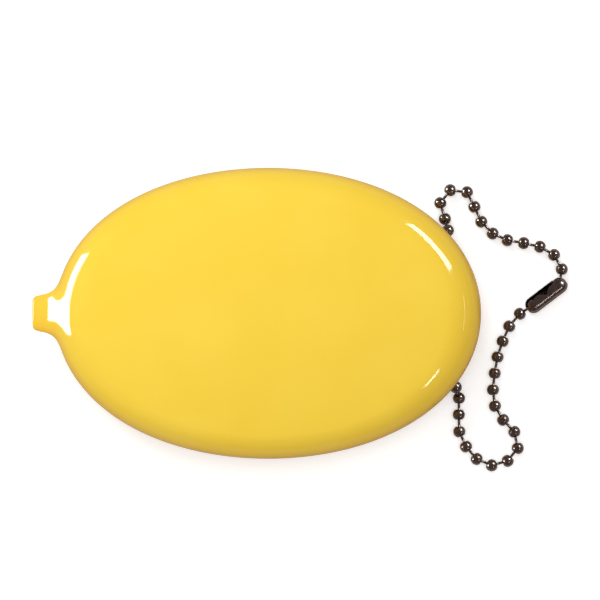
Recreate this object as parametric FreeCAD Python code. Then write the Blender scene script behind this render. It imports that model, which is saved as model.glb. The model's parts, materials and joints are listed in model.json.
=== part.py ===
import FreeCAD, Part
import math
import os

V = FreeCAD.Vector

# Squeeze coin purse lying on its slit side, all lengths in millimetres.
# The origin is on the table under the middle of the oval, X runs along the oval
# from its moulding stub to its chain end, and Z is up.

# Purse skin, one dip-moulded vinyl oval
SKIN_LENGTH = 83.8
SKIN_WIDTH = 57.2
SKIN_HEIGHT = 18.0
SKIN_WALL = 1.6
RIM_HEIGHT = 8.5
CROWN_RISE = 3.0
SEAT_FLAT_DEPTH = 0.5

# Moulding stub at the left end: each row is how far out it lies as a share of the stub's length
# past the oval's end, and its half width and half height as shares of the stub's radius
STUB_LENGTH = 4.4
STUB_RADIUS = 3.4
STUB_SHARES = (
    (1.0, 0.88, 0.3),
    (0.75, 1.02, 0.35),
    (0.5, 1.11, 0.39),
    (0.25, 1.21, 0.5),
    (0.0, 1.45, 0.72),
    (-0.25, 1.85, 0.94),
    (-0.5, 2.35, 1.13),
    (-0.75, 2.8, 1.23),
)

# Slit and its two lips, which turn on rounded edges
SLIT_LENGTH = 54.0
SLIT_GAP = 0.3
LIP_WIDTH = 11.5
LIP_END_GAP = 0.15
LIP_EDGE_GAP = 0.1

# Chain holes punched under the rim, each this far to one side of the oval's middle line
HOLE_RADIUS = 2.0
HOLE_DIP_DEG = 30.0
UPPER_HOLE_SIDE = 14.31
LOWER_HOLE_SIDE = -12.86

# Ball chain: hollow beads on wires with a head at each end
BEAD_RADIUS = 1.2
BEAD_WALL = 0.2
BEAD_PITCH = 3.25
WIRE_RADIUS = 0.26
HEAD_RADIUS = 0.42
HEAD_OFFSET = 0.55
EYE_RADIUS = 0.385
EYE_FLARE_RADIUS = 0.55
FLOOR_GAP = 0.2
OPEN_LINK_GAP = 0.2

# Chain connector, a folded pod around the two end beads
CONNECTOR_RADIUS = 1.65
CONNECTOR_WALL = 0.25
CONNECTOR_SPAN = 6.4
CONNECTOR_SLOT = 1.0
CONNECTOR_NECK_RADIUS = 0.75
CONNECTOR_GATE_RADIUS = 1.3
CONNECTOR_TILT_DEG = 35.0

# Every cut runs this far past the face that it goes through
OVERRUN = 1.0

# Lie of the chain on the table: the heading of each link, from the upper hole to the connector
# and from the connector to the lower hole, and how the links share the drop from a hole outside
# and inside the purse
UPPER_HEADINGS_DEG = (54, 103, 106, 51, -7, -63, -65, -46, -24, -10, -13, -30, -62, -99)
CONNECTOR_HEADING_DEG = -143
LOWER_HEADINGS_DEG = (
    -147, -130, -114, -108, -100, -96, -83, -60, -47, -78,
    -128, -164, -203, -229, -246, -268, -271, -253, -225,
)
HOLE_DROP_SHARES = (0.34, 0.66)
INNER_DROP_SHARES = (-0.3, 0.5, 0.8)
INNER_TAUT_SHARE = 0.93
INNER_BOW_DEG = 45.0

# Sizes worked out from those above
HALF_LENGTH = SKIN_LENGTH / 2
HALF_WIDTH = SKIN_WIDTH / 2
STRETCH = HALF_LENGTH / HALF_WIDTH
LOW_RADIUS = RIM_HEIGHT + SEAT_FLAT_DEPTH
SHOULDER_RADIUS = SKIN_HEIGHT - RIM_HEIGHT - CROWN_RISE
KNUCKLE_RADIUS = SKIN_WALL / 2


def puck(inset):
    """Solid oval of the skin's outer form, drawn in by inset: a profile of a flat, two rim arcs and
    a crown arc is turned about Z, stretched along X and cut flat where it rests."""
    half_width = HALF_WIDTH - inset
    low = LOW_RADIUS - inset
    shoulder = SHOULDER_RADIUS - inset
    top = SKIN_HEIGHT - inset
    rise = top - RIM_HEIGHT
    reach = half_width - shoulder
    crown = (reach ** 2 + rise ** 2 - shoulder ** 2) / (2 * (rise - shoulder))
    crown_z = top - crown
    lean = math.atan2(reach, RIM_HEIGHT - crown_z)
    bottom = RIM_HEIGHT - low
    diagonal = math.sqrt(0.5)

    def on_crown(angle):
        return V(crown * math.sin(angle), 0, crown_z + crown * math.cos(angle))

    tilt = (math.pi / 2 + lean) / 2
    shoulder_mid = V(reach + shoulder * math.sin(tilt), 0, RIM_HEIGHT + shoulder * math.cos(tilt))
    low_mid = V(half_width - low + low * diagonal, 0, RIM_HEIGHT - low * diagonal)
    seat = V(half_width - low, 0, bottom)
    widest = V(half_width, 0, RIM_HEIGHT)
    edges = [
        Part.LineSegment(V(0, 0, bottom), seat),
        Part.Arc(seat, low_mid, widest),
        Part.Arc(widest, shoulder_mid, on_crown(lean)),
        Part.Arc(on_crown(lean), on_crown(lean / 2), on_crown(0)),
        Part.LineSegment(on_crown(0), V(0, 0, bottom)),
    ]
    wire = Part.Wire([edge.toShape() for edge in edges])
    turned = Part.Face(wire).revolve(V(0, 0, 0), V(0, 0, 1), 360)
    stretch = FreeCAD.Matrix()
    stretch.scale(V((HALF_LENGTH - inset) / half_width, 1, 1))
    oval = turned.transformGeometry(stretch)
    below = Part.makeBox(
        SKIN_LENGTH, SKIN_WIDTH, SKIN_HEIGHT, V(-HALF_LENGTH, -HALF_WIDTH, inset - SKIN_HEIGHT)
    )
    return oval.cut(below)


def stub():
    """Stub left by the moulding: a loft through upright ovals that flares into the oval's left end."""
    rings = []
    for out_share, width_share, height_share in STUB_SHARES:
        centre = V(-HALF_LENGTH - STUB_LENGTH * out_share, 0, RIM_HEIGHT)
        side = centre + V(0, STUB_RADIUS * width_share, 0)
        over = centre + V(0, 0, STUB_RADIUS * height_share)
        rings.append(Part.Wire([Part.Ellipse(side, over, centre).toShape()]))
    return Part.makeLoft(rings, True)


def hole_frame(hole_side):
    """Point on the skin's outer face at a chain hole, and the outward direction there."""
    dip = math.radians(HOLE_DIP_DEG)
    ring = HALF_WIDTH - LOW_RADIUS + LOW_RADIUS * math.cos(dip)
    turn = math.asin(hole_side / ring)
    height = RIM_HEIGHT - LOW_RADIUS * math.sin(dip)
    point = V(STRETCH * ring * math.cos(turn), ring * math.sin(turn), height)
    outward = V(
        math.cos(turn) * math.cos(dip) / STRETCH, math.sin(turn) * math.cos(dip), -math.sin(dip)
    )
    return point, outward.normalize()


def chain_hole(hole_side):
    """Round hole through the skin, square to its outer face."""
    point, outward = hole_frame(hole_side)
    depth = SKIN_WALL + 2 * OVERRUN
    return Part.makeCylinder(HOLE_RADIUS, depth, point + outward * OVERRUN, outward * -1)


def knuckle(side, radius, length):
    """Round bar along the edge that a lip turns on."""
    start = V(-length / 2, side * LIP_WIDTH, KNUCKLE_RADIUS)
    return Part.makeCylinder(radius, length, start, V(1, 0, 0))


def slit_window():
    """Space that the two lips and their rounded edges take in the back of the skin."""
    gap = Part.makeBox(
        SLIT_LENGTH,
        2 * LIP_WIDTH,
        SKIN_WALL + 2 * OVERRUN,
        V(-SLIT_LENGTH / 2, -LIP_WIDTH, -OVERRUN),
    )
    seats = [knuckle(side, KNUCKLE_RADIUS + LIP_EDGE_GAP, SLIT_LENGTH) for side in (1, -1)]
    return gap.fuse(seats)


def purse_skin():
    """Hollow oval with its stub, the window of the slit and the two chain holes."""
    skin = puck(0).fuse(stub())
    holes = [chain_hole(UPPER_HOLE_SIDE), chain_hole(LOWER_HOLE_SIDE)]
    skin = skin.cut([puck(SKIN_WALL), slit_window()] + holes)
    return skin.removeSplitter()


def slit_lip(side):
    """One lip of the slit: a flat strip of skin with a rounded edge where it bends."""
    length = SLIT_LENGTH - 2 * LIP_END_GAP
    width = LIP_WIDTH - SLIT_GAP / 2
    near = SLIT_GAP / 2 if side > 0 else -LIP_WIDTH
    strip = Part.makeBox(length, width, SKIN_WALL, V(-length / 2, near, 0))
    return strip.fuse(knuckle(side, KNUCKLE_RADIUS, length)).removeSplitter()


def hole_bead(hole_side):
    """Centre of the bead that lies in a chain hole, halfway through the skin."""
    point, outward = hole_frame(hole_side)
    return point - outward * (SKIN_WALL / 2)


def walk(start, headings, rises):
    """Bead centres reached from start by steps of one pitch, each with a heading and a rise."""
    places = [start]
    for heading, rise in zip(headings, rises):
        flat = math.sqrt(BEAD_PITCH ** 2 - rise ** 2)
        step = V(flat * math.cos(heading), flat * math.sin(heading), rise)
        places.append(places[-1] + step)
    return places


def closing_walk(start, end, headings, rises, bend):
    """Walk from start to end: all headings are turned alike and the run is bent a little more or
    less, both found by Newton's method, so that its last bead comes to the end given."""
    count = len(headings)
    leans = [2 * i / (count - 1) - 1 for i in range(count)]

    def places(turn, bend):
        bent = [h + turn + bend * lean for h, lean in zip(headings, leans)]
        return walk(start, bent, rises)

    def miss(turn, bend):
        return places(turn, bend)[-1] - end

    turn = 0.0
    nudge = 1e-5
    for _ in range(30):
        off = miss(turn, bend)
        by_turn = (miss(turn + nudge, bend) - off) * (1 / nudge)
        by_bend = (miss(turn, bend + nudge) - off) * (1 / nudge)
        det = by_turn.x * by_bend.y - by_bend.x * by_turn.y
        turn -= (off.x * by_bend.y - by_bend.x * off.y) / det
        bend -= (by_turn.x * off.y - off.x * by_turn.y) / det
    return places(turn, bend)


def outer_run():
    """Bead centres outside the purse: the upper run from its hole to the connector, then the lower
    run from the connector to its hole."""
    start = hole_bead(UPPER_HOLE_SIDE)
    drops = [(start.z - BEAD_RADIUS) * share for share in HOLE_DROP_SHARES]
    lift = CONNECTOR_RADIUS - BEAD_RADIUS
    headings = [math.radians(angle) for angle in UPPER_HEADINGS_DEG]
    rises = [-drop for drop in drops] + [0] * (len(headings) - 3) + [lift]
    upper = walk(start, headings, rises)
    turn = math.radians(CONNECTOR_HEADING_DEG)
    across = upper[-1] + V(math.cos(turn), math.sin(turn), 0) * CONNECTOR_SPAN
    headings = [math.radians(angle) for angle in LOWER_HEADINGS_DEG]
    rises = [-lift] + [0] * (len(headings) - 3) + drops[::-1]
    lower = closing_walk(across, hole_bead(LOWER_HOLE_SIDE), headings, rises, 0.0)
    return upper, lower


def inner_run():
    """Bead centres inside the purse, from the upper hole to the lower hole: a slack bow that lies
    just above the skin."""
    start = hole_bead(UPPER_HOLE_SIDE)
    end = hole_bead(LOWER_HOLE_SIDE)
    chord = end - start
    count = math.ceil(chord.Length / (BEAD_PITCH * INNER_TAUT_SHARE))
    height = start.z - SKIN_WALL - BEAD_RADIUS - FLOOR_GAP
    drops = [height * share for share in INNER_DROP_SHARES]
    rises = [-drop for drop in drops] + [0] * (count - 2 * len(drops)) + drops[::-1]
    headings = [math.atan2(chord.y, chord.x)] * count
    return closing_walk(start, end, headings, rises, math.radians(INNER_BOW_DEG))


def bead_frame(centre, first, second):
    """Placement of a bead: its Y axis runs along the chain, and its X axis points away from the
    inner side of the bend. Also half the angle between the two wires."""
    ways = [(point - centre).normalize() for point in (first, second)]
    inner = ways[0] + ways[1]
    along = ways[0] - ways[1]
    half_angle = math.atan2(along.Length, inner.Length)
    rotation = FreeCAD.Rotation(inner * -1, along, V(0, 0, 0), "YXZ")
    return FreeCAD.Placement(centre, rotation), half_angle


def bead(centre, first, second):
    """Hollow ball with a flared eye on each side that a wire goes to."""
    place, half_angle = bead_frame(centre, first, second)
    hollow = BEAD_RADIUS - BEAD_WALL
    ball = Part.makeSphere(BEAD_RADIUS).cut(Part.makeSphere(hollow))
    near = math.sqrt(hollow ** 2 - EYE_RADIUS ** 2)
    far = math.sqrt(BEAD_RADIUS ** 2 - EYE_FLARE_RADIUS ** 2)
    widening = (EYE_FLARE_RADIUS - EYE_RADIUS) / (far - near)
    past = BEAD_WALL / 2
    start = near - past
    depth = BEAD_RADIUS + past - start
    narrow = EYE_RADIUS - widening * past
    wide = narrow + widening * depth
    eyes = []
    for angle in (math.pi - half_angle, math.pi + half_angle):
        way = V(math.cos(angle), math.sin(angle), 0)
        eyes.append(Part.makeCone(narrow, wide, depth, way * start, way))
    ball = ball.cut(eyes)
    ball.Placement = place
    return ball


def wire_with_heads(length, heads):
    """Wire along Z from zero to length, with a round head at each height listed: a profile of a
    straight side and arcs turned about Z."""
    reach = math.sqrt(HEAD_RADIUS ** 2 - WIRE_RADIUS ** 2)
    low = V(0, 0, -HEAD_RADIUS)
    edges = [Part.Arc(low, V(HEAD_RADIUS, 0, 0), V(WIRE_RADIUS, 0, reach))]
    if heads > 1:
        shoulder = V(WIRE_RADIUS, 0, length - reach)
        top = V(0, 0, length + HEAD_RADIUS)
        edges.append(Part.LineSegment(V(WIRE_RADIUS, 0, reach), shoulder))
        edges.append(Part.Arc(shoulder, V(HEAD_RADIUS, 0, length), top))
    else:
        rim = V(WIRE_RADIUS, 0, length)
        top = V(0, 0, length)
        edges.append(Part.LineSegment(V(WIRE_RADIUS, 0, reach), rim))
        edges.append(Part.LineSegment(rim, top))
    edges.append(Part.LineSegment(top, low))
    wire = Part.Wire([edge.toShape() for edge in edges])
    return Part.Face(wire).revolve(V(0, 0, 0), V(0, 0, 1), 360)


def link(first, second):
    """Wire between two beads with a round head inside each of them."""
    way = (second - first).normalize()
    wire = wire_with_heads((second - first).Length - 2 * HEAD_OFFSET, 2)
    wire.Placement = FreeCAD.Placement(first + way * HEAD_OFFSET, FreeCAD.Rotation(V(0, 0, 1), way))
    return wire


def open_link(first, second):
    """Link without its far head, cut short of the second bead where the loop is opened."""
    way = (second - first).normalize()
    length = (second - first).Length - HEAD_OFFSET - BEAD_RADIUS - OPEN_LINK_GAP
    wire = wire_with_heads(length, 1)
    wire.Placement = FreeCAD.Placement(first + way * HEAD_OFFSET, FreeCAD.Rotation(V(0, 0, 1), way))
    return wire


def capsule(radius, first, second):
    """Round bar from the first point to the second with a dome on each end."""
    way = second - first
    bar = Part.makeCylinder(radius, way.Length, first, way)
    domes = [Part.makeSphere(radius, place) for place in (first, second)]
    return bar.fuse(domes).removeSplitter()


def connector(first, second, before, after):
    """Pod of thin sheet around the two end beads, open along one side. Each wire leaves through a
    neck, and the gate in the middle of the open side lets a bead in."""
    way = (second - first).normalize()
    tilt = math.radians(CONNECTOR_TILT_DEG)
    side = V(way.y * math.cos(tilt), -way.x * math.cos(tilt), math.sin(tilt))
    middle = (first + second) * 0.5
    pod = capsule(CONNECTOR_RADIUS, first, second)
    hollow = capsule(CONNECTOR_RADIUS - CONNECTOR_WALL, first, second)
    length = CONNECTOR_SPAN + 2 * CONNECTOR_RADIUS + 2 * OVERRUN
    depth = CONNECTOR_RADIUS + OVERRUN
    slot = Part.makeBox(length, depth, CONNECTOR_SLOT, V(-length / 2, -depth, -CONNECTOR_SLOT / 2))
    slot.rotate(V(0, 0, 0), V(1, 0, 0), -CONNECTOR_TILT_DEG)
    slot.rotate(V(0, 0, 0), V(0, 0, 1), math.degrees(math.atan2(way.y, way.x)))
    slot.translate(middle)
    necks = [
        Part.makeCylinder(CONNECTOR_NECK_RADIUS, depth, place, point - place)
        for place, point in ((first, before), (second, after))
    ]
    gate = Part.makeCylinder(CONNECTOR_GATE_RADIUS, depth, middle, side)
    return pod.cut([hollow, slot, gate] + necks)


def chain_nodes():
    """Every bead of the chain with the link that ties it to the bead before it."""
    upper, lower = outer_run()
    inner = inner_run()
    first_end, last_end = upper[-1], lower[0]
    nodes = {}
    for i, place in enumerate(inner):
        before = inner[i - 1] if i else upper[1]
        after = inner[i + 1] if i + 1 < len(inner) else lower[-2]
        solids = [bead(place, before, after)]
        if i:
            solids.append(link(before, place))
        nodes[f"inner_bead_{i + 1:02d}"] = solids
    for i in range(1, len(upper)):
        onward = upper[i + 1] if i + 1 < len(upper) else upper[i] * 2 - upper[i - 1]
        solids = [bead(upper[i], upper[i - 1], onward), link(upper[i - 1], upper[i])]
        nodes[f"upper_bead_{i:02d}"] = solids
    from_hole = lower[::-1]
    for i in range(1, len(from_hole) - 1):
        solids = [bead(from_hole[i], from_hole[i - 1], from_hole[i + 1])]
        solids.append(link(from_hole[i - 1], from_hole[i]))
        nodes[f"lower_bead_{i:02d}"] = solids
    spare = last_end * 2 - lower[1]
    nodes["end_bead"] = [bead(last_end, lower[1], spare), open_link(last_end, lower[1])]
    nodes["connector"] = [connector(first_end, last_end, upper[-2], lower[1])]
    return nodes


def purse():
    """All the nodes of the purse, each a list of solids."""
    nodes = {
        "purse_skin": [purse_skin()],
        "upper_lip": [slit_lip(1)],
        "lower_lip": [slit_lip(-1)],
    }
    nodes.update(chain_nodes())
    return nodes


os.makedirs("parts", exist_ok=True)
for name, solids in purse().items():
    Part.makeCompound(solids).exportStep(f"parts/{name}.step")
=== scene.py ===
import json
import math

import bpy
import numpy as np
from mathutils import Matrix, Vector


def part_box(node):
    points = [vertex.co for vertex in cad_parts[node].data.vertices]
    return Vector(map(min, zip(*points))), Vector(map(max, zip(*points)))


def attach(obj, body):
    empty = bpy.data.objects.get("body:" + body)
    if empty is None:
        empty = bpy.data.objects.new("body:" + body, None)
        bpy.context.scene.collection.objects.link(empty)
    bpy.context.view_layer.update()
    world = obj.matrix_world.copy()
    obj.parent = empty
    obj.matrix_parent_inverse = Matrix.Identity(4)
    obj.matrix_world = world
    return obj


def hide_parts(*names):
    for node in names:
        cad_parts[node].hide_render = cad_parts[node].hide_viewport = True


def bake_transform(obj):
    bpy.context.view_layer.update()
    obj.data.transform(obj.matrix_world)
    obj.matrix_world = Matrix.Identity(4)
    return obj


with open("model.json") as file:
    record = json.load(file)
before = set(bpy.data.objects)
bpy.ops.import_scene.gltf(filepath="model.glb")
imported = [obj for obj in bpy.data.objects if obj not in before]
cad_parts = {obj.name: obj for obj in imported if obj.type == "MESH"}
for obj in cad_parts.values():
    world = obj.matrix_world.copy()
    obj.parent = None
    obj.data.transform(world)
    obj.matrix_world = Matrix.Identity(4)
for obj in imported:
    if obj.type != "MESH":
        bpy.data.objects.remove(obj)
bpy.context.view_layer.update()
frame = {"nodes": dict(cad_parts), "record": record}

# Purse skin
# One hollow oval of soft vinyl. A heated former is dipped in liquid plastisol, the layer that gels on
# it is cured and peeled off whole, so there is no seam and the stub shows where the former was held.

MM = 0.001
TINY = 1e-9
NUDGE = 1e-4
skin_low, skin_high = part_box("purse_skin")
HALF_LENGTH = skin_high[0]
HALF_WIDTH = skin_high[1]
TOP = skin_high[2]
RIM_HEIGHT = 8.5 * MM
SHOULDER_RADIUS = 6.5 * MM
LOW_RADIUS = 9.0 * MM
SKIN_WALL = 1.6 * MM
FULLNESS = 0.0118
MOUTH_HALF_LENGTH = 29.5 * MM
MOUTH_HALF_WIDTH = 12.0 * MM

STUB_ROOT = np.array((-30.0, 0.0, 8.5)) * MM
STUB_LENGTH = STUB_ROOT[0] - skin_low[0]
STUB_FLARE = (9.1 * MM, 14.4 * MM)
STUB_FLARE_HALF = 7.1 * MM
STUB_FLARE_POWER = 1.6
STUB_RAMP = (8.2 * MM, 13.4 * MM)
STUB_RAMP_HALF = 3.77 * MM
STUB_RAMP_LEAN = 1.0 * MM
STUB_RAMP_BEND = 1.41 * MM
TAB_HALF = 3.7 * MM
TAB_DRAFT = 0.27
TAB_TOE = 0.26 * MM
TAB_END_ROUND = 0.6 * MM
TAB_END_DROP = (0.8 * MM, 0.4 * MM)
STUB_BLEND = 1.4 * MM
STUB_SEARCH = 17.0 * MM
STUB_SEARCH_STEPS = 700

HOLE_RADIUS = 2.0 * MM
HOLE_CHAMFER = 0.15 * MM
HOLE_TURNS = (math.radians(31.5), math.radians(-28.0))
HOLE_DIP = math.radians(30.0)
HOLE_MARGIN = 1.25 * HOLE_RADIUS
HOLE_LOOPS = 6
VINYL_CREASE_DEG = 50


def skin_section(stage, inset):
    """Radius and height of the section at a stage, drawn in by inset. From 0 to 1 it runs down the crown
    arc, to 2 down the shoulder arc to the widest line, and to 3 down the lower arc to the flat back."""
    half_width = HALF_WIDTH - inset
    low = LOW_RADIUS - inset
    shoulder = SHOULDER_RADIUS - inset
    rise = TOP - inset - RIM_HEIGHT
    reach = half_width - shoulder
    crown = (reach ** 2 + rise ** 2 - shoulder ** 2) / (2 * (rise - shoulder))
    crown_height = TOP - inset - crown
    lean = math.atan2(reach, RIM_HEIGHT - crown_height)
    drop = math.asin((RIM_HEIGHT - inset) / low)
    down_crown = np.clip(stage, 0, 1) * lean
    down_shoulder = lean + np.clip(stage - 1, 0, 1) * (math.pi / 2 - lean)
    down_low = np.clip(stage - 2, 0, 1) * drop
    spans = [stage <= 1, stage <= 2]
    radius = np.select(
        spans,
        [crown * np.sin(down_crown), reach + shoulder * np.sin(down_shoulder)],
        half_width - low + low * np.cos(down_low),
    )
    height = np.select(
        spans,
        [crown_height + crown * np.cos(down_crown), RIM_HEIGHT + shoulder * np.cos(down_shoulder)],
        RIM_HEIGHT - low * np.sin(down_low),
    )
    return radius, height


def stub_section(out):
    """Half width and half height of the stub's oval section at distances out from its root. The width
    flares towards the purse by a power of the distance. The height falls ever more steeply, as a
    parabola, to a thin tab that tapers a little, and the tab's end is rounded over by a quarter of an
    ellipse."""
    flare = np.clip((STUB_FLARE[1] - out) / (STUB_FLARE[1] - STUB_FLARE[0]), 0, 1) ** STUB_FLARE_POWER
    draft = TAB_DRAFT * np.maximum(out - STUB_FLARE[1], 0)
    wide = TAB_HALF + (STUB_FLARE_HALF - TAB_HALF) * flare - draft
    down = np.clip((out - STUB_RAMP[0]) / (STUB_RAMP[1] - STUB_RAMP[0]), 0, 1)
    toe = np.clip((out - STUB_RAMP[1]) / (STUB_LENGTH - STUB_RAMP[1]), 0, 1)
    high = STUB_RAMP_HALF - STUB_RAMP_LEAN * down - STUB_RAMP_BEND * down ** 2
    high = high - TAB_TOE * toe * (2 - toe)
    rounded = 1 - np.sqrt(1 - np.clip((out - STUB_LENGTH) / TAB_END_ROUND + 1, 0, 1) ** 2)
    return wide - TAB_END_DROP[0] * rounded, high - TAB_END_DROP[1] * rounded


def stub_reach(ways):
    """How far the stub reaches along each unit direction from its root. Steps along the direction are
    tried against the oval section that the stub has there, and the last one inside is moved on to where
    the next would cross the section or the stub's flat end."""
    steps = np.linspace(0.0, STUB_SEARCH, STUB_SEARCH_STEPS)
    out = -ways[:, :1] * steps
    wide, high = stub_section(out)
    off = np.hypot(ways[:, 1:2] * steps / wide, ways[:, 2:] * steps / high)
    inside = (off <= 1) & (out <= STUB_LENGTH)
    last = off.shape[1] - 1 - np.argmax(inside[:, ::-1], axis=1)
    each = np.arange(len(ways))
    grows = np.maximum(off[each, last + 1] - off[each, last], TINY)
    reach = steps[last] + steps[1] * np.clip((1 - off[each, last]) / grows, 0, 1)
    reach = np.minimum(reach, STUB_LENGTH / np.maximum(-ways[:, 0], TINY))
    return np.where(ways[:, 0] < 0, reach, 0.0)


def skin_points(turn, stage, inset):
    """Points of the skin at turns round the oval and stages of its section. The section is turned about
    Z, stretched along X and made a little fuller on the diagonals. From stage 3 to 4 the flat back runs
    in to the mouth. On the outer face the stub swells out of the left end where it reaches further than
    the oval, with a soft valley between the two."""
    turn, stage = np.broadcast_arrays(turn, stage)
    radius, height = skin_section(stage, inset)
    fuller = 1 + FULLNESS * np.sin(2 * turn) ** 2
    stretch = (HALF_LENGTH - inset) / (HALF_WIDTH - inset)
    x = radius * stretch * fuller * np.cos(turn)
    y = radius * fuller * np.sin(turn)
    across = np.clip(stage - 3, 0, 1)
    x = x + across * (MOUTH_HALF_LENGTH * np.cos(turn) - x)
    y = y + across * (MOUTH_HALF_WIDTH * np.sin(turn) - y)
    points = np.stack([x, y, height], axis=-1).reshape(-1, 3)
    if inset == 0:
        near = (points[:, 0] < STUB_ROOT[0]) & (stage.ravel() < 3)
        away = points[near] - STUB_ROOT
        reach = np.linalg.norm(away, axis=1)
        ways = away / reach[:, None]
        stub = stub_reach(ways)
        overlap = np.clip(STUB_BLEND - np.abs(reach - stub), 0, None)
        grown = np.maximum(reach, stub) + overlap ** 2 / (4 * STUB_BLEND)
        points[near] = STUB_ROOT + ways * np.where(stub > 0, grown, reach)[:, None]
    return points.reshape(turn.shape + (3,))


def loop_faces(first, second):
    """Four-sided faces between two closed loops of point numbers that run side by side."""
    return np.stack([first, np.roll(first, -1), np.roll(second, -1), second], axis=-1).reshape(-1, 4)


def make_piece(name, points, faces, material, sharp_deg):
    """Mesh object of the points and faces, smooth but for edges that turn more than sharp_deg."""
    mesh = bpy.data.meshes.new(name)
    mesh.from_pydata(np.asarray(points).tolist(), [], [list(map(int, face)) for face in faces])
    mesh.shade_smooth()
    mesh.set_sharp_from_angle(angle=math.radians(sharp_deg))
    mesh.materials.append(material)
    made = bpy.data.objects.new(name, mesh)
    bpy.context.scene.collection.objects.link(made)
    return made


def colour(code):
    """Linear colour of an sRGB hex code."""
    value = np.array([int(code[i:i + 2], 16) for i in (1, 3, 5)]) / 255
    value = np.where(value <= 0.04045, value / 12.92, ((value + 0.055) / 1.055) ** 2.4)
    return (*value.tolist(), 1.0)


def add(tree, kind, inputs=None, **settings):
    """New shader node: inputs are values or other nodes' outputs, by the socket's name or number."""
    made = tree.nodes.new(kind)
    for key, value in settings.items():
        setattr(made, key, value)
    for key, value in (inputs or {}).items():
        if isinstance(value, bpy.types.NodeSocket):
            tree.links.new(value, made.inputs[key])
        else:
            made.inputs[key].default_value = value
    return made


def start_material(name):
    """Empty material, its node tree and the output that carries the object's own coordinates."""
    material = bpy.data.materials.new(name)
    material.use_nodes = True
    tree = material.node_tree
    tree.nodes.clear()
    where = add(tree, "ShaderNodeTexCoord").outputs["Object"]
    return material, tree, where


# Dipped vinyl, high gloss. Clouds of pigment keep the yellow from being one flat colour, slow waves in
# the skin bend the edges of highlights, and a fine orange peel breaks them up where they fade. Low down
# its sides the skin is painted deeper and more orange, as painted shade.
PIGMENT_CLOUD = 14 * MM
SKIN_WAVE = 9 * MM
ORANGE_PEEL = 0.7 * MM
GLOSS_CLOUD = 5 * MM
# Heights between which the painted shade low on the sides grows.
FLANK_SHADE_TOP = 12 * MM
FLANK_SHADE_LOW = 8 * MM
vinyl, tree, where = start_material("dipped_vinyl_gloss")
clouds = add(tree, "ShaderNodeTexNoise", {"Vector": where, "Scale": 1 / PIGMENT_CLOUD, "Detail": 2.0})
cloudy = add(tree, "ShaderNodeMapRange", {
    "Value": clouds.outputs["Fac"], "From Min": 0.3, "From Max": 0.7,
})
face = add(tree, "ShaderNodeMix", {
    0: cloudy.outputs["Result"], 6: colour("#EACD40"), 7: colour("#ECD148"),
}, data_type="RGBA")
height = add(tree, "ShaderNodeSeparateXYZ", {"Vector": where})
# Painted shade: from 12 mm down to 8 mm the yellow is mixed ever more towards orange.
flank_shade = add(tree, "ShaderNodeMapRange", {
    "Value": height.outputs["Z"], "From Min": FLANK_SHADE_TOP, "From Max": FLANK_SHADE_LOW, "To Max": 0.3,
})
yellow = add(tree, "ShaderNodeMix", {
    0: flank_shade.outputs["Result"], 6: face.outputs[2], 7: colour("#FFB030"),
}, data_type="RGBA")
waves = add(tree, "ShaderNodeTexNoise", {"Vector": where, "Scale": 1 / SKIN_WAVE, "Detail": 1.0})
wavy = add(tree, "ShaderNodeBump", {
    "Height": waves.outputs["Fac"], "Strength": 0.25, "Distance": 0.35 * MM,
})
peel = add(tree, "ShaderNodeTexNoise", {"Vector": where, "Scale": 1 / ORANGE_PEEL, "Detail": 2.0})
peeled = add(tree, "ShaderNodeBump", {
    "Height": peel.outputs["Fac"], "Strength": 0.05, "Distance": 0.06 * MM,
    "Normal": wavy.outputs["Normal"],
})
haze = add(tree, "ShaderNodeTexNoise", {"Vector": where, "Scale": 1 / GLOSS_CLOUD, "Detail": 3.0})
gloss = add(tree, "ShaderNodeMapRange", {
    "Value": haze.outputs["Fac"], "From Min": 0.3, "From Max": 0.7, "To Min": 0.05, "To Max": 0.09,
})
surface = add(tree, "ShaderNodeBsdfPrincipled", {
    "Base Color": yellow.outputs[2],
    "Roughness": gloss.outputs["Result"],
    "IOR": 1.53,
    "Normal": peeled.outputs["Normal"],
})
add(tree, "ShaderNodeOutputMaterial", {"Surface": surface.outputs["BSDF"]})

# Columns crowd at the stub and rows at the rim, where the shape turns fastest.
COLUMNS = 320
STUB_CROWDING = 0.66
CROWN_ROWS = 26
SHOULDER_ROWS = 48
LOW_ROWS = 40
BACK_ROWS = 6
RIM_CROWDING = 1.7
even = np.arange(COLUMNS) * 2 * math.pi / COLUMNS
turns = even + STUB_CROWDING * np.sin(even)
stages = np.concatenate([
    np.linspace(0, 1, CROWN_ROWS + 1)[1:],
    2 - np.linspace(1, 0, SHOULDER_ROWS + 1)[1:] ** RIM_CROWDING,
    2 + np.linspace(0, 1, LOW_ROWS + 1)[1:] ** RIM_CROWDING,
    3 + np.linspace(0, 1, BACK_ROWS + 1)[1:],
])
ROWS = len(stages)
outer = skin_points(turns[None, :], stages[:, None], 0.0)
inner = skin_points(turns[None, :], stages[:, None], SKIN_WALL)

outer_numbers = 1 + np.arange(ROWS * COLUMNS).reshape(ROWS, COLUMNS)
inner_numbers = outer_numbers + ROWS * COLUMNS + 1
poles = [[[0.0, 0.0, TOP]], [[0.0, 0.0, TOP - SKIN_WALL]]]
skin_mesh = [poles[0], outer.reshape(-1, 3), poles[1], inner.reshape(-1, 3)]
point_count = 2 * (ROWS * COLUMNS + 1)

hole_stage = 2 + HOLE_DIP / math.asin(RIM_HEIGHT / LOW_RADIUS)


def patch_loop(hole_turn, to_flat, flat, radius, share, inset):
    """Loop of points a share of the way from the edge of the patch round a hole to a circle of the radius
    about its middle. Flat holds the edge's offsets from the middle in metres, and the matrix to_flat
    makes such offsets of those in turn and stage."""
    ring = flat / np.linalg.norm(flat, axis=0)
    moved = np.linalg.solve(to_flat, flat + share * (ring * radius - flat))
    return skin_points(hole_turn + moved[0], hole_stage + moved[1], inset)


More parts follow.
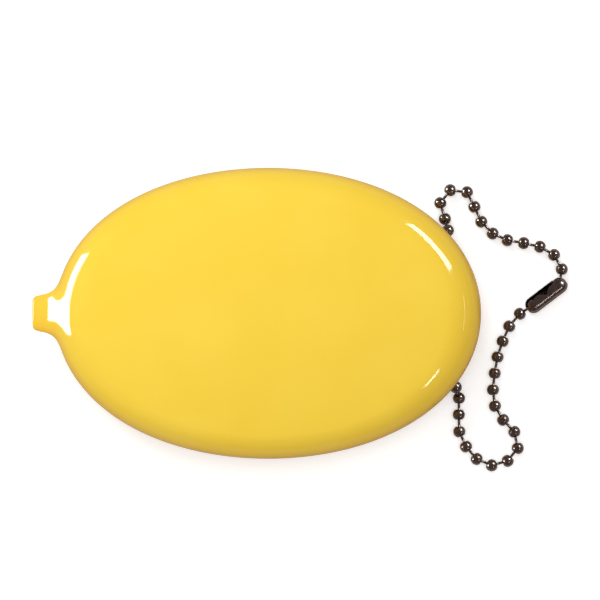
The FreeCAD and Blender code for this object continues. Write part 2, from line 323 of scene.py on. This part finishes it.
# Round each chain hole a patch of the grid gives way to loops that lead from its edge to the hole's edge,
# through the wall and out again to the inner face.
signed = np.where(turns > math.pi, turns - 2 * math.pi, turns)
shares = np.linspace(0, 1, HOLE_LOOPS + 1)[1:]
depth = HOLE_CHAMFER / SKIN_WALL
kept = np.ones((ROWS - 1, COLUMNS), dtype=bool)
hole_faces = []
for hole_turn in HOLE_TURNS:
    here = skin_points(hole_turn, hole_stage, 0.0)
    by_turn = (skin_points(hole_turn + NUDGE, hole_stage, 0.0) - here) / NUDGE
    by_stage = (skin_points(hole_turn, hole_stage + NUDGE, 0.0) - here) / NUDGE
    along = by_turn / np.linalg.norm(by_turn)
    lean = by_stage @ along
    down = np.linalg.norm(by_stage - lean * along)
    to_flat = np.array([[np.linalg.norm(by_turn), lean], [0.0, down]])
    columns = np.flatnonzero(np.abs(signed - hole_turn) * to_flat[0, 0] < HOLE_MARGIN)
    rows = np.flatnonzero(np.abs(stages - hole_stage) * down < HOLE_MARGIN)
    c0, c1 = columns[0] - 1, columns[-1] + 1
    r0, r1 = rows[0] - 1, rows[-1] + 1
    kept[r0:r1, c0:c1] = False
    edge_rows = np.concatenate([
        np.arange(r0, r1), np.full(c1 - c0, r1), np.arange(r1, r0, -1), np.full(c1 - c0, r0),
    ])
    edge_columns = np.concatenate([
        np.full(r1 - r0, c0), np.arange(c0, c1), np.full(r1 - r0, c1), np.arange(c1, c0, -1),
    ])
    offsets = np.stack([signed[edge_columns] - hole_turn, stages[edge_rows] - hole_stage])
    patch = (hole_turn, to_flat, to_flat @ offsets)
    outside = [patch_loop(*patch, HOLE_RADIUS + HOLE_CHAMFER, share, 0.0) for share in shares]
    inside = [patch_loop(*patch, HOLE_RADIUS, share, SKIN_WALL) for share in shares[::-1]]
    throat = patch_loop(*patch, HOLE_RADIUS, 1.0, 0.0) * (1 - depth) + inside[0] * depth
    loops = [outer_numbers[edge_rows, edge_columns]]
    for loop in outside + [throat] + inside:
        loops.append(point_count + np.arange(len(loop)))
        skin_mesh.append(loop)
        point_count += len(loop)
    loops.append(inner_numbers[edge_rows, edge_columns])
    hole_faces += [loop_faces(a, b) for a, b in zip(loops, loops[1:])]


def grid_faces(numbers, kept):
    """Four-sided faces of a grid of point numbers whose rows close on themselves, where kept is true."""
    after = np.roll(numbers, -1, axis=1)
    faces = np.stack([numbers[:-1], numbers[1:], after[1:], after[:-1]], axis=-1)
    return faces[kept]


first_row = outer_numbers[0]
top_fan = np.stack([np.full(COLUMNS, 0), first_row, np.roll(first_row, -1)], axis=-1)
first_row = inner_numbers[0]
low_fan = np.stack([np.full(COLUMNS, ROWS * COLUMNS + 1), np.roll(first_row, -1), first_row], axis=-1)
skin_faces = [grid_faces(outer_numbers, kept), grid_faces(inner_numbers, kept)[:, ::-1]]
skin_faces += hole_faces + [loop_faces(inner_numbers[-1], outer_numbers[-1]), top_fan, low_fan]
skin_faces = [face for group in skin_faces for face in group.tolist()]
skin = make_piece("vinyl_skin", np.concatenate(skin_mesh), skin_faces, vinyl, VINYL_CREASE_DEG)
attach(skin, "purse")
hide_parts("purse_skin")

# Slit lips
# The slit is cut through the flat back with a straight blade, so its two lips are the same vinyl as the
# skin around them. Squeezing the ends of the oval bends them outwards, most in the middle.

SLIT_HALF_LENGTH = 27.0 * MM
SLIT_HALF_GAP = 0.15 * MM
LIP_ROUND = 0.3 * MM
LIP_ROUND_SHARE = 0.4
LIP_ROWS = 18
LIP_ROUND_ROWS = 5
HALF = COLUMNS // 2


def lip_section(side):
    """Points of one lip, how far each lies from the mouth towards the slit, and the angle of each row.
    The lip is a slab of skin between its half of the mouth and its side of the slit. A row of points goes
    round the slab's section, in along the back to a rounded slit edge and out again along the inside, and
    the rows follow the mouth from one end to the other."""
    angles = turns[:HALF + 1] if side > 0 else 2 * math.pi - turns[:HALF + 1]
    mouth = np.stack([MOUTH_HALF_LENGTH * np.cos(angles), MOUTH_HALF_WIDTH * np.sin(angles)], axis=-1)
    slit = np.stack([SLIT_HALF_LENGTH * np.cos(angles), np.full(HALF + 1, side * SLIT_HALF_GAP)], axis=-1)
    span = np.linalg.norm(slit - mouth, axis=-1)
    rounding = np.minimum(LIP_ROUND, LIP_ROUND_SHARE * span) / span
    bends = np.linspace(0, math.pi / 2, LIP_ROUND_ROWS)
    shares = [step * (1 - rounding) for step in np.linspace(0, 1, LIP_ROWS + 1)[:-1]]
    heights = [0.0] * len(shares)
    shares += [1 - rounding + rounding * math.sin(bend) for bend in bends]
    heights += [LIP_ROUND * (1 - math.cos(bend)) for bend in bends]
    shares += shares[::-1]
    heights += [SKIN_WALL - height for height in heights[::-1]]
    shares = np.array(shares).T
    flat = mouth[:, None] * (1 - shares[..., None]) + slit[:, None] * shares[..., None]
    tall = np.broadcast_to(np.array(heights), shares.shape)
    return np.concatenate([flat, tall[..., None]], axis=-1), shares, angles


for lip_name, body, side in (("slit_lip_upper", "upper_lip", 1), ("slit_lip_lower", "lower_lip", -1)):
    points, shares, angles = lip_section(side)
    numbers = np.arange(points[..., 0].size).reshape(points.shape[:2])
    faces = np.concatenate([loop_faces(a, b) for a, b in zip(numbers, numbers[1:])])
    faces = faces if side > 0 else faces[:, ::-1]
    caps = [numbers[0].tolist()[::-1], numbers[-1].tolist()]
    caps = [cap if side > 0 else cap[::-1] for cap in caps]
    lip = make_piece(lip_name, points.reshape(-1, 3), faces.tolist() + caps, vinyl, VINYL_CREASE_DEG)
    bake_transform(lip)
    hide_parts(body)

# Ball chain
# Hollow beads are pressed from thin steel strip round short wires, whose headed ends turn freely inside
# two neighbouring beads. The finished chain is plated with black nickel.

BEAD_RADIUS = 1.2 * MM
BEAD_INSIDE = 1.0 * MM
EYE_ANGLE = math.radians(26.0)
EYE_FLARE_ANGLE = math.radians(40.5)
WIRE_RADIUS = 0.26 * MM
HEAD_RADIUS = 0.42 * MM
HEAD_OFFSET = 0.55 * MM
HEAD_TIP_ANGLE = 0.12
WIRE_END_CHAMFER = 0.08 * MM
WIRE_END_SHARE = 0.7
WIRE_SIDE_HINT = (0.31, 0.17, 0.93)
BEAD_SIDES = 28
WIRE_SIDES = 14
EYE_ROWS = 7
BEAD_ROWS = 20
BEAD_INSIDE_ROWS = 8
HEAD_ROWS = 9
CHAIN_CREASE_DEG = 60

# Black nickel plate on steel. Dark mirror with clouds where the plating is thicker, pale specks where it
# has rubbed through on the high spots, and fine scuffs that soften its highlights.
PLATING_CLOUD = 1.6 * MM
RUBBED_SPECK = 0.5 * MM
FINE_SCUFF = 0.16 * MM
POLISH_CLOUD = 0.8 * MM
plate, tree, where = start_material("black_nickel_plate")
clouds = add(tree, "ShaderNodeTexNoise", {"Vector": where, "Scale": 1 / PLATING_CLOUD, "Detail": 3.0})
cloudy = add(tree, "ShaderNodeMapRange", {
    "Value": clouds.outputs["Fac"], "From Min": 0.3, "From Max": 0.7,
})
plating = add(tree, "ShaderNodeMix", {
    0: cloudy.outputs["Result"], 6: colour("#857C76"), 7: colour("#9A918B"),
}, data_type="RGBA")
specks = add(tree, "ShaderNodeTexNoise", {"Vector": where, "Scale": 1 / RUBBED_SPECK, "Detail": 4.0})
rubbed = add(tree, "ShaderNodeMapRange", {
    "Value": specks.outputs["Fac"], "From Min": 0.62, "From Max": 0.74, "To Max": 0.7,
})
worn = add(tree, "ShaderNodeMix", {
    0: rubbed.outputs["Result"], 6: plating.outputs[2], 7: colour("#D9D2CC"),
}, data_type="RGBA")
scuffs = add(tree, "ShaderNodeTexNoise", {"Vector": where, "Scale": 1 / FINE_SCUFF, "Detail": 2.0})
scuffed = add(tree, "ShaderNodeBump", {
    "Height": scuffs.outputs["Fac"], "Strength": 0.12, "Distance": 0.02 * MM,
})
haze = add(tree, "ShaderNodeTexNoise", {"Vector": where, "Scale": 1 / POLISH_CLOUD, "Detail": 3.0})
polish = add(tree, "ShaderNodeMapRange", {
    "Value": haze.outputs["Fac"], "From Min": 0.3, "From Max": 0.7, "To Min": 0.18, "To Max": 0.28,
})
surface = add(tree, "ShaderNodeBsdfPrincipled", {
    "Base Color": worn.outputs[2],
    "Metallic": 1.0,
    "Roughness": polish.outputs["Result"],
    "Normal": scuffed.outputs["Normal"],
})
add(tree, "ShaderNodeOutputMaterial", {"Surface": surface.outputs["BSDF"]})


def unit(vector):
    """The vector at length one."""
    return vector / np.linalg.norm(vector)


def turned(profile, around):
    """Ring grid of a profile turned about Y: row by row, the distance from the axis in the first column
    becomes a ring in X and Z at the height in the second."""
    angle = np.arange(around) * 2 * math.pi / around
    radius, along = profile[:, :1], profile[:, 1:]
    return np.stack([radius * np.cos(angle), along + 0 * angle, radius * np.sin(angle)], axis=-1)


def bead_points(centre, first, second):
    """Hollow ball with an eye towards each of two points. Its section starts round, with each eye rolled
    in along a quarter of an ellipse, and is cast from a point off its middle, so that the eyes turn
    towards the wires."""
    ways = [unit(first - centre), unit(second - centre)]
    along = unit(ways[0] - ways[1])
    bend = ways[0] + ways[1]
    lean = np.linalg.norm(bend) / 2
    bend = unit(bend) if lean > TINY else unit(np.cross(along, (0.0, 0.0, 1.0)))
    axes = np.stack([bend, along, np.cross(bend, along)])
    roll = np.linspace(0, math.pi / 2, EYE_ROWS)
    eye_angles = EYE_ANGLE + (EYE_FLARE_ANGLE - EYE_ANGLE) * (1 - np.cos(roll))
    eye_radii = BEAD_INSIDE + (BEAD_RADIUS - BEAD_INSIDE) * np.sin(roll)
    outer_angles = np.linspace(EYE_FLARE_ANGLE, math.pi - EYE_FLARE_ANGLE, BEAD_ROWS + 1)[1:-1]
    inner_angles = np.linspace(math.pi - EYE_ANGLE, EYE_ANGLE, BEAD_INSIDE_ROWS + 1)[1:-1]
    angles = np.concatenate([eye_angles, outer_angles, math.pi - eye_angles[::-1], inner_angles])
    radii = np.concatenate([
        eye_radii, np.full(len(outer_angles), BEAD_RADIUS),
        eye_radii[::-1], np.full(len(inner_angles), BEAD_INSIDE),
    ])
    ways = turned(np.stack([np.sin(angles), np.cos(angles)], axis=-1), BEAD_SIDES)
    start = np.array((lean, 0.0, 0.0))
    dot = ways @ start
    cast = start + ways * (np.sqrt(dot ** 2 + 1 - lean ** 2) - dot)[..., None]
    return centre + (cast * radii[:, None, None]) @ axes


def wire_points(first, second, heads):
    """Wire between two beads with a round head inside the first and, if there are two, the second."""
    along = second - first
    length = np.linalg.norm(along)
    along = along / length
    side = unit(np.cross(along, WIRE_SIDE_HINT))
    axes = np.stack([side, along, np.cross(side, along)])
    neck = math.pi - math.asin(WIRE_RADIUS / HEAD_RADIUS)
    sweep = np.linspace(HEAD_TIP_ANGLE, neck, HEAD_ROWS)
    head = np.stack([HEAD_RADIUS * np.sin(sweep), HEAD_OFFSET - HEAD_RADIUS * np.cos(sweep)], axis=-1)
    if heads == 2:
        far = np.stack([head[::-1, 0], length - head[::-1, 1]], axis=-1)
    else:
        end = length - BEAD_INSIDE
        far = np.array([[WIRE_RADIUS, end - WIRE_END_CHAMFER], [WIRE_END_SHARE * WIRE_RADIUS, end]])
    return first + turned(np.concatenate([head, far]), WIRE_SIDES) @ axes


def ring_faces(numbers):
    """Four-sided faces between the rings of a grid of point numbers."""
    return np.concatenate([loop_faces(b, a) for a, b in zip(numbers, numbers[1:])]).tolist()


def chain_piece(name, body, node, bead, wire):
    """One bead with the wire that ties it to its neighbour, each a closed surface of the same piece."""
    bead_numbers = np.arange(bead[..., 0].size).reshape(bead.shape[:2])
    wire_numbers = bead_numbers.size + np.arange(wire[..., 0].size).reshape(wire.shape[:2])
    faces = ring_faces(np.concatenate([bead_numbers[:1], bead_numbers[::-1]])) + ring_faces(wire_numbers)
    faces += [wire_numbers[0].tolist(), wire_numbers[-1].tolist()[::-1]]
    points = np.concatenate([bead.reshape(-1, 3), wire.reshape(-1, 3)])
    made = make_piece(name, points, faces, plate, CHAIN_CREASE_DEG)
    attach(made, body)
    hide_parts(node)


pivots = {joint["name"]: np.array(joint["pos_m"]) for joint in frame["record"]["behaviour"]["joints"]}


def bead_centre(node, pivot):
    """Centre of a node's bead, one radius in from the sides of the node's box that its wire, which leads
    to the pivot, doesn't reach."""
    low, high = (np.array(corner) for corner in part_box(node))
    return np.where(pivot < (low + high) / 2, high - BEAD_RADIUS, low + BEAD_RADIUS)


def run_centres(run, count):
    """Bead centres of a run from the bead in its hole onwards. That bead is as far behind the first pivot
    as a wire's head lies off the middle of a bead."""
    ways = [(f"{run}_bead_{i:02d}", pivots[f"link_{run}_{i:02d}"]) for i in range(1, count + 1)]
    centres = [bead_centre(node, pivot) for node, pivot in ways]
    pivot = ways[0][1]
    return [pivot - unit(centres[0] - pivot) * HEAD_OFFSET] + centres


UPPER_BEADS = 14
LOWER_BEADS = 18
INNER_BEADS = 10
upper = run_centres("upper", UPPER_BEADS)
lower = run_centres("lower", LOWER_BEADS)
lower.append(bead_centre("end_bead", lower[-1]))

for run, centres in (("upper", upper + [2 * upper[-1] - upper[-2]]), ("lower", lower)):
    for i in range(1, len(centres) - 1):
        chain_piece(
            f"chain_{run}_{i:02d}", f"{run}_bead_{i:02d}", f"{run}_bead_{i:02d}",
            bead_points(centres[i], centres[i - 1], centres[i + 1]),
            wire_points(centres[i - 1], centres[i], 2),
        )
chain_piece(
    "chain_end", "connector", "end_bead",
    bead_points(lower[-1], lower[-2], 2 * lower[-1] - lower[-2]), wire_points(lower[-1], lower[-2], 1),
)
for i in range(1, INNER_BEADS + 1):
    inside_bead = frame["nodes"][f"inner_bead_{i:02d}"]
    inside_bead.data.materials.clear()
    inside_bead.data.materials.append(plate)

# Chain connector
# A pod folded from thin steel strip, plated like the chain. It is open along one side: a bead is pushed
# in at the gate in the middle and snaps into the cup at one end, where its wire leaves through the slot.

POD_RADIUS = 1.65 * MM
POD_WALL = 0.25 * MM
POD_NECK = 0.74 * MM
SLOT_HALF = 0.42 * MM
GATE_HALF = 1.25 * MM
GATE_LENGTH = 1.5 * MM
CUP_HALF = 0.85 * MM
CUP_LENGTH = 1.2 * MM
POD_TILT = math.radians(35)
POD_OPEN_LIMIT = 0.9
DOME_ROWS = 13
BAR_ROWS = 28
POD_SIDES = 41
POD_CREASE_DEG = 40
span = lower[-1] - upper[-1]
pod_length = np.linalg.norm(span)
pod_axis = span / pod_length
pod_flat = np.array([pod_axis[1], -pod_axis[0], 0.0])
pod_side = pod_flat * math.cos(POD_TILT) + np.array([0.0, 0.0, math.sin(POD_TILT)])
pod_lift = np.cross(pod_side, pod_axis)
upper_wire = upper[-2] - upper[-1]
upper_turn = math.atan2(upper_wire @ pod_lift, upper_wire @ pod_side)


def pod_points(radius):
    """Face of the pod at a radius: a round bar with domed ends. Rows run from one end's hole to the
    other, and each row goes round from one edge of the open side to the other. The open side is a slot
    that widens to a gate halfway along, and at the upper run's end it turns to where that run's wire
    leaves."""
    neck = math.asin(POD_NECK / radius)
    dome = np.linspace(neck, math.pi / 2, DOME_ROWS)
    bar = np.linspace(0, pod_length, BAR_ROWS + 2)[1:-1]
    reach = np.concatenate([-radius * np.cos(dome), bar, pod_length + radius * np.cos(dome[::-1])])
    ring = np.concatenate([radius * np.sin(dome), np.full(BAR_ROWS, radius), radius * np.sin(dome[::-1])])
    off = np.clip(np.abs(reach - pod_length / 2) / GATE_LENGTH, 0, 1)
    half = SLOT_HALF + (GATE_HALF - SLOT_HALF) * np.cos(off * math.pi / 2) ** 2
    ends = np.clip((np.abs(reach - pod_length / 2) - pod_length / 2) / CUP_LENGTH + 1, 0, 1)
    ends = ends ** 2 * (3 - 2 * ends)
    half = half + (CUP_HALF - SLOT_HALF) * ends
    edge = np.arcsin(np.minimum(half / ring, POD_OPEN_LIMIT))
    start = edge + np.where(reach < pod_length / 2, ends * upper_turn, 0.0)
    around = start[:, None] + np.linspace(0, 1, POD_SIDES) * (2 * math.pi - 2 * edge[:, None])
    out = np.cos(around)[..., None] * pod_side + np.sin(around)[..., None] * pod_lift
    return upper[-1] + reach[:, None, None] * pod_axis + ring[:, None, None] * out


section = np.concatenate([pod_points(POD_RADIUS), pod_points(POD_RADIUS - POD_WALL)[:, ::-1]], axis=1)
numbers = np.arange(section[..., 0].size).reshape(section.shape[:2])
faces = [loop_faces(b, a) for a, b in zip(numbers, numbers[1:])]
for row, flip in ((numbers[0], 1), (numbers[-1], -1)):
    out, back = row[:POD_SIDES], row[POD_SIDES:][::-1]
    faces.append(np.stack([out[:-1], out[1:], back[1:], back[:-1]], axis=-1)[:, ::flip])
faces = np.concatenate(faces).tolist()
pod = make_piece("chain_connector", section.reshape(-1, 3), faces, plate, POD_CREASE_DEG)
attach(pod, "connector")
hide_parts("connector")

# Floor and lights
# A white table that stays white in the picture and still takes the shadows, with soft boxes around it:
# small ones whose shapes show in the gloss, and large ones that light the surface.

FLOOR_HALF = 2.0
floor_mesh = bpy.data.meshes.new("white_table")
corners = [(x * FLOOR_HALF, y * FLOOR_HALF, 0.0) for x, y in ((-1, -1), (1, -1), (1, 1), (-1, 1))]
floor_mesh.from_pydata(corners, [], [(0, 1, 2, 3)])
floor = bpy.data.objects.new("white_table", floor_mesh)
bpy.context.scene.collection.objects.link(floor)

# White matt table. A little light of its own lifts the open table to white, further off it fades into the
# grey of the backdrop, and what it throws back at the object is held down, as a small paper sheet would.
BACKDROP = "#EDEEEF"
TABLE_GLOW = 0.35
FADE_NEAR = 0.1
FADE_FAR = 0.7
paper, tree, where = start_material("white_paper_matt")
path = add(tree, "ShaderNodeLightPath")
seen = add(tree, "ShaderNodeBsdfDiffuse", {"Color": colour("#E9F1F2")})
glow = add(tree, "ShaderNodeEmission", {"Color": colour("#FFFFFF"), "Strength": TABLE_GLOW})
lit = add(tree, "ShaderNodeAddShader", {0: seen.outputs[0], 1: glow.outputs[0]})
off = add(tree, "ShaderNodeVectorMath", {0: where}, operation="LENGTH")
far = add(tree, "ShaderNodeMapRange", {
    "Value": off.outputs["Value"], "From Min": FADE_NEAR, "From Max": FADE_FAR,
}, interpolation_type="SMOOTHSTEP")
behind = add(tree, "ShaderNodeEmission", {"Color": colour(BACKDROP), "Strength": 1.0})
fade = add(tree, "ShaderNodeMixShader", {
    "Fac": far.outputs["Result"], 1: lit.outputs[0], 2: behind.outputs[0],
})
bounce = add(tree, "ShaderNodeBsdfDiffuse", {"Color": colour("#A89C98")})
mixed = add(tree, "ShaderNodeMixShader", {
    "Fac": path.outputs["Is Camera Ray"], 1: bounce.outputs[0], 2: fade.outputs[0],
})
add(tree, "ShaderNodeOutputMaterial", {"Surface": mixed.outputs[0]})
floor_mesh.materials.append(paper)


def soft_box(name, azimuth_deg, height_deg, distance, width, height, strength):
    """Rectangular lamp that faces the object from an azimuth and a height angle. Strength is how bright
    its face is, where 1 is white."""
    lamp = bpy.data.lights.new(name, "AREA")
    lamp.shape = "RECTANGLE"
    lamp.size, lamp.size_y = width, height
    lamp.energy = strength * math.pi * width * height
    made = bpy.data.objects.new(name, lamp)
    azimuth, lift = math.radians(azimuth_deg), math.radians(height_deg)
    made.location = (
        distance * math.cos(lift) * math.cos(azimuth), distance * math.cos(lift) * math.sin(azimuth),
        distance * math.sin(lift) + RIM_HEIGHT,
    )
    made.rotation_euler = (math.pi / 2 - lift, 0.0, azimuth + math.pi / 2)
    made.visible_camera = False
    bpy.context.scene.collection.objects.link(made)
    return made


# The first four lamps show in the gloss only, and the last three light the surface without showing there.
for lamp_name, azimuth_deg, height_deg, distance, width, height, brightness, glossy in (
    ("box_left", 170, 12, 0.5, 0.38, 0.17, 20, True),
    ("strip_right", 38, 35, 0.5, 0.2, 0.1, 16, True),
    ("spot_low_right", -37, 42, 0.5, 0.07, 0.034, 12, True),
    ("strip_end", 0, 27, 0.5, 0.15, 0.01, 5, True),
    ("key_left", 118, 33, 1.4, 1.0, 0.8, 4.4, False),
    ("fill_left", 205, 22, 1.4, 1.0, 0.8, 1.7, False),
    ("box_top", 0, 86, 0.9, 0.7, 0.7, 2.7, False),
):
    box = soft_box(lamp_name, azimuth_deg, height_deg, distance, width, height, brightness)
    box.visible_glossy = glossy
    box.visible_diffuse = not glossy

# The room is dimmer in reflections than in the light it gives, and the camera sees a plain pale backdrop.
ROOM_LIGHT = 0.43
ROOM_REFLECTED = 0.14

world = bpy.data.worlds.new("studio")
world.use_nodes = True
tree = world.node_tree
tree.nodes.clear()
path = add(tree, "ShaderNodeLightPath")
strength = add(tree, "ShaderNodeMapRange", {
    "Value": path.outputs["Is Glossy Ray"], "To Min": ROOM_LIGHT, "To Max": ROOM_REFLECTED,
})
sky = add(tree, "ShaderNodeBackground", {
    "Color": colour("#FFE2DC"), "Strength": strength.outputs["Result"],
})
backdrop = add(tree, "ShaderNodeBackground", {"Color": colour(BACKDROP), "Strength": 1.0})
mixed = add(tree, "ShaderNodeMixShader", {
    "Fac": path.outputs["Is Camera Ray"], 1: sky.outputs[0], 2: backdrop.outputs[0],
})
add(tree, "ShaderNodeOutputWorld", {"Surface": mixed.outputs[0]})
bpy.context.scene.world = world
bpy.context.scene.view_settings.view_transform = "Standard"

# Camera
# It looks straight down through a long lens, from so far off that there is almost no perspective. The
# middle of the view lies a little up and to the right of the purse's middle.

VIEW_WIDTH = 118.0 * MM
VIEW_X = 6.29 * MM
VIEW_Y = 2.62 * MM
LENS_MM = 300.0
CLIP_START = 0.01
camera_data = bpy.data.cameras.new("camera")
camera_data.lens = LENS_MM
camera_data.clip_start = CLIP_START
camera = bpy.data.objects.new("camera", camera_data)
camera_height = RIM_HEIGHT + VIEW_WIDTH * LENS_MM / camera_data.sensor_width
camera.location = (VIEW_X, VIEW_Y, camera_height)
bpy.context.scene.collection.objects.link(camera)
bpy.context.scene.camera = camera

bpy.context.view_layer.update()
